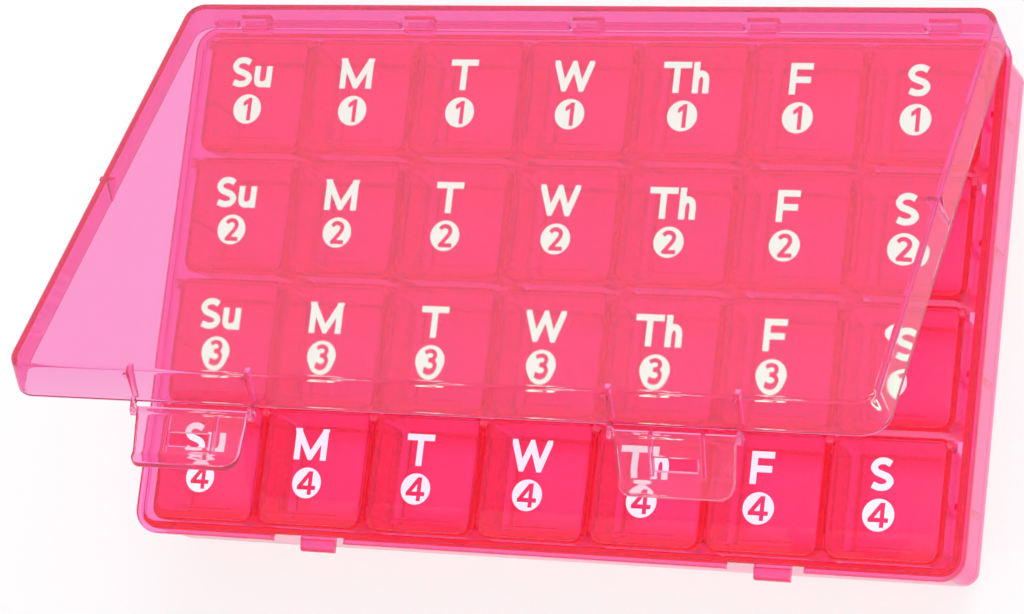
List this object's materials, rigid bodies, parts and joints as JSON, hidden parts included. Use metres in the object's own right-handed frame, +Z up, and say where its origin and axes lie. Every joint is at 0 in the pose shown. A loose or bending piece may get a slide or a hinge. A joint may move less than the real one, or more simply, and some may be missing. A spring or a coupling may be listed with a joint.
{
  "type": "monthly pill organizer",
  "caption": "Clear pink monthly pill case: a shallow tray with a hinged outer lid and snap latches, holding lift-out weekly strips of small compartments with hinged lids.",
  "frame": {"origin": "centre of the tray's flat underside", "axes": "+X along the long hinge, -Y towards the latches, +Y towards the hinge, +Z up"},
  "size_m": [0.176, 0.1117, 0.0817],
  "materials": {
    "tray_plastic": "clear tinted polystyrene, polished mould",
    "strip_plastic": "clear tinted polystyrene, polished mould",
    "day_lid_plastic": "clear tinted polystyrene, polished mould",
    "outer_lid_plastic": "clear tinted polystyrene, polished mould"
  },
  "bodies": {
    "tray": {"tray": "tray_plastic"},
    "outer_lid": {"outer_lid": "outer_lid_plastic"},
    "latch_left": {"latch_left": "outer_lid_plastic"},
    "latch_right": {"latch_right": "outer_lid_plastic"},
    "week_1_strip": {"week_1_strip": "strip_plastic"},
    "week_2_strip": {"week_2_strip": "strip_plastic"},
    "week_3_strip": {"week_3_strip": "strip_plastic"},
    "week_4_strip": {"week_4_strip": "strip_plastic"},
    "day_lid_1_1": {"day_lid_1_1": "day_lid_plastic"},
    "day_lid_1_2": {"day_lid_1_2": "day_lid_plastic"},
    "day_lid_1_3": {"day_lid_1_3": "day_lid_plastic"},
    "day_lid_1_4": {"day_lid_1_4": "day_lid_plastic"},
    "day_lid_1_5": {"day_lid_1_5": "day_lid_plastic"},
    "day_lid_1_6": {"day_lid_1_6": "day_lid_plastic"},
    "day_lid_1_7": {"day_lid_1_7": "day_lid_plastic"},
    "day_lid_2_1": {"day_lid_2_1": "day_lid_plastic"},
    "day_lid_2_2": {"day_lid_2_2": "day_lid_plastic"},
    "day_lid_2_3": {"day_lid_2_3": "day_lid_plastic"},
    "day_lid_2_4": {"day_lid_2_4": "day_lid_plastic"},
    "day_lid_2_5": {"day_lid_2_5": "day_lid_plastic"},
    "day_lid_2_6": {"day_lid_2_6": "day_lid_plastic"},
    "day_lid_2_7": {"day_lid_2_7": "day_lid_plastic"},
    "day_lid_3_1": {"day_lid_3_1": "day_lid_plastic"},
    "day_lid_3_2": {"day_lid_3_2": "day_lid_plastic"},
    "day_lid_3_3": {"day_lid_3_3": "day_lid_plastic"},
    "day_lid_3_4": {"day_lid_3_4": "day_lid_plastic"},
    "day_lid_3_5": {"day_lid_3_5": "day_lid_plastic"},
    "day_lid_3_6": {"day_lid_3_6": "day_lid_plastic"},
    "day_lid_3_7": {"day_lid_3_7": "day_lid_plastic"},
    "day_lid_4_1": {"day_lid_4_1": "day_lid_plastic"},
    "day_lid_4_2": {"day_lid_4_2": "day_lid_plastic"},
    "day_lid_4_3": {"day_lid_4_3": "day_lid_plastic"},
    "day_lid_4_4": {"day_lid_4_4": "day_lid_plastic"},
    "day_lid_4_5": {"day_lid_4_5": "day_lid_plastic"},
    "day_lid_4_6": {"day_lid_4_6": "day_lid_plastic"},
    "day_lid_4_7": {"day_lid_4_7": "day_lid_plastic"}
  },
  "joints": [
    {"name": "outer_lid_hinge", "type": "hinge", "parent": "tray", "child": "outer_lid", "pos_m": [0, 0.0548, 0.0183], "axis": [-1, 0, 0], "range_deg": [-32, 73]},
    {"name": "latch_left_hinge", "type": "hinge", "parent": "outer_lid", "child": "latch_left", "pos_m": [-0.0485, -0.03863, 0.07598], "axis": [-1, 0, 0], "range_deg": [-65, 30]},
    {"name": "latch_right_hinge", "type": "hinge", "parent": "outer_lid", "child": "latch_right", "pos_m": [0.0485, -0.03863, 0.07598], "axis": [-1, 0, 0], "range_deg": [-37, 58]},
    {"name": "week_1_lift", "type": "slide", "parent": "tray", "child": "week_1_strip", "axis": [0, 0, 1], "range_m": [0, 0.004]},
    {"name": "week_2_lift", "type": "slide", "parent": "tray", "child": "week_2_strip", "axis": [0, 0, 1], "range_m": [0, 0.02]},
    {"name": "week_3_lift", "type": "slide", "parent": "tray", "child": "week_3_strip", "axis": [0, 0, 1], "range_m": [0, 0.02]},
    {"name": "week_4_lift", "type": "slide", "parent": "tray", "child": "week_4_strip", "axis": [0, 0, 1], "range_m": [0, 0.02]},
    {"name": "day_lid_1_1_hinge", "type": "hinge", "parent": "week_1_strip", "child": "day_lid_1_1", "pos_m": [-0.072, 0.0495, 0.02], "axis": [-1, 0, 0], "range_deg": [0, 46]},
    {"name": "day_lid_1_2_hinge", "type": "hinge", "parent": "week_1_strip", "child": "day_lid_1_2", "pos_m": [-0.048, 0.0495, 0.02], "axis": [-1, 0, 0], "range_deg": [0, 46]},
    {"name": "day_lid_1_3_hinge", "type": "hinge", "parent": "week_1_strip", "child": "day_lid_1_3", "pos_m": [-0.024, 0.0495, 0.02], "axis": [-1, 0, 0], "range_deg": [0, 46]},
    {"name": "day_lid_1_4_hinge", "type": "hinge", "parent": "week_1_strip", "child": "day_lid_1_4", "pos_m": [0, 0.0495, 0.02], "axis": [-1, 0, 0], "range_deg": [0, 46]},
    {"name": "day_lid_1_5_hinge", "type": "hinge", "parent": "week_1_strip", "child": "day_lid_1_5", "pos_m": [0.024, 0.0495, 0.02], "axis": [-1, 0, 0], "range_deg": [0, 46]},
    {"name": "day_lid_1_6_hinge", "type": "hinge", "parent": "week_1_strip", "child": "day_lid_1_6", "pos_m": [0.048, 0.0495, 0.02], "axis": [-1, 0, 0], "range_deg": [0, 46]},
    {"name": "day_lid_1_7_hinge", "type": "hinge", "parent": "week_1_strip", "child": "day_lid_1_7", "pos_m": [0.072, 0.0495, 0.02], "axis": [-1, 0, 0], "range_deg": [0, 46]},
    {"name": "day_lid_2_1_hinge", "type": "hinge", "parent": "week_2_strip", "child": "day_lid_2_1", "pos_m": [-0.072, 0.0237, 0.02], "axis": [-1, 0, 0], "range_deg": [0, 92]},
    {"name": "day_lid_2_2_hinge", "type": "hinge", "parent": "week_2_strip", "child": "day_lid_2_2", "pos_m": [-0.048, 0.0237, 0.02], "axis": [-1, 0, 0], "range_deg": [0, 92]},
    {"name": "day_lid_2_3_hinge", "type": "hinge", "parent": "week_2_strip", "child": "day_lid_2_3", "pos_m": [-0.024, 0.0237, 0.02], "axis": [-1, 0, 0], "range_deg": [0, 92]},
    {"name": "day_lid_2_4_hinge", "type": "hinge", "parent": "week_2_strip", "child": "day_lid_2_4", "pos_m": [0, 0.0237, 0.02], "axis": [-1, 0, 0], "range_deg": [0, 92]},
    {"name": "day_lid_2_5_hinge", "type": "hinge", "parent": "week_2_strip", "child": "day_lid_2_5", "pos_m": [0.024, 0.0237, 0.02], "axis": [-1, 0, 0], "range_deg": [0, 92]},
    {"name": "day_lid_2_6_hinge", "type": "hinge", "parent": "week_2_strip", "child": "day_lid_2_6", "pos_m": [0.048, 0.0237, 0.02], "axis": [-1, 0, 0], "range_deg": [0, 92]},
    {"name": "day_lid_2_7_hinge", "type": "hinge", "parent": "week_2_strip", "child": "day_lid_2_7", "pos_m": [0.072, 0.0237, 0.02], "axis": [-1, 0, 0], "range_deg": [0, 92]},
    {"name": "day_lid_3_1_hinge", "type": "hinge", "parent": "week_3_strip", "child": "day_lid_3_1", "pos_m": [-0.072, -0.0021, 0.02], "axis": [-1, 0, 0], "range_deg": [0, 110]},
    {"name": "day_lid_3_2_hinge", "type": "hinge", "parent": "week_3_strip", "child": "day_lid_3_2", "pos_m": [-0.048, -0.0021, 0.02], "axis": [-1, 0, 0], "range_deg": [0, 110]},
    {"name": "day_lid_3_3_hinge", "type": "hinge", "parent": "week_3_strip", "child": "day_lid_3_3", "pos_m": [-0.024, -0.0021, 0.02], "axis": [-1, 0, 0], "range_deg": [0, 110]},
    {"name": "day_lid_3_4_hinge", "type": "hinge", "parent": "week_3_strip", "child": "day_lid_3_4", "pos_m": [0, -0.0021, 0.02], "axis": [-1, 0, 0], "range_deg": [0, 110]},
    {"name": "day_lid_3_5_hinge", "type": "hinge", "parent": "week_3_strip", "child": "day_lid_3_5", "pos_m": [0.024, -0.0021, 0.02], "axis": [-1, 0, 0], "range_deg": [0, 110]},
    {"name": "day_lid_3_6_hinge", "type": "hinge", "parent": "week_3_strip", "child": "day_lid_3_6", "pos_m": [0.048, -0.0021, 0.02], "axis": [-1, 0, 0], "range_deg": [0, 110]},
    {"name": "day_lid_3_7_hinge", "type": "hinge", "parent": "week_3_strip", "child": "day_lid_3_7", "pos_m": [0.072, -0.0021, 0.02], "axis": [-1, 0, 0], "range_deg": [0, 110]},
    {"name": "day_lid_4_1_hinge", "type": "hinge", "parent": "week_4_strip", "child": "day_lid_4_1", "pos_m": [-0.072, -0.0279, 0.02], "axis": [-1, 0, 0], "range_deg": [0, 110]},
    {"name": "day_lid_4_2_hinge", "type": "hinge", "parent": "week_4_strip", "child": "day_lid_4_2", "pos_m": [-0.048, -0.0279, 0.02], "axis": [-1, 0, 0], "range_deg": [0, 110]},
    {"name": "day_lid_4_3_hinge", "type": "hinge", "parent": "week_4_strip", "child": "day_lid_4_3", "pos_m": [-0.024, -0.0279, 0.02], "axis": [-1, 0, 0], "range_deg": [0, 110]},
    {"name": "day_lid_4_4_hinge", "type": "hinge", "parent": "week_4_strip", "child": "day_lid_4_4", "pos_m": [0, -0.0279, 0.02], "axis": [-1, 0, 0], "range_deg": [0, 110]},
    {"name": "day_lid_4_5_hinge", "type": "hinge", "parent": "week_4_strip", "child": "day_lid_4_5", "pos_m": [0.024, -0.0279, 0.02], "axis": [-1, 0, 0], "range_deg": [0, 110]},
    {"name": "day_lid_4_6_hinge", "type": "hinge", "parent": "week_4_strip", "child": "day_lid_4_6", "pos_m": [0.048, -0.0279, 0.02], "axis": [-1, 0, 0], "range_deg": [0, 110]},
    {"name": "day_lid_4_7_hinge", "type": "hinge", "parent": "week_4_strip", "child": "day_lid_4_7", "pos_m": [0.072, -0.0279, 0.02], "axis": [-1, 0, 0], "range_deg": [0, 110]}
  ]
}
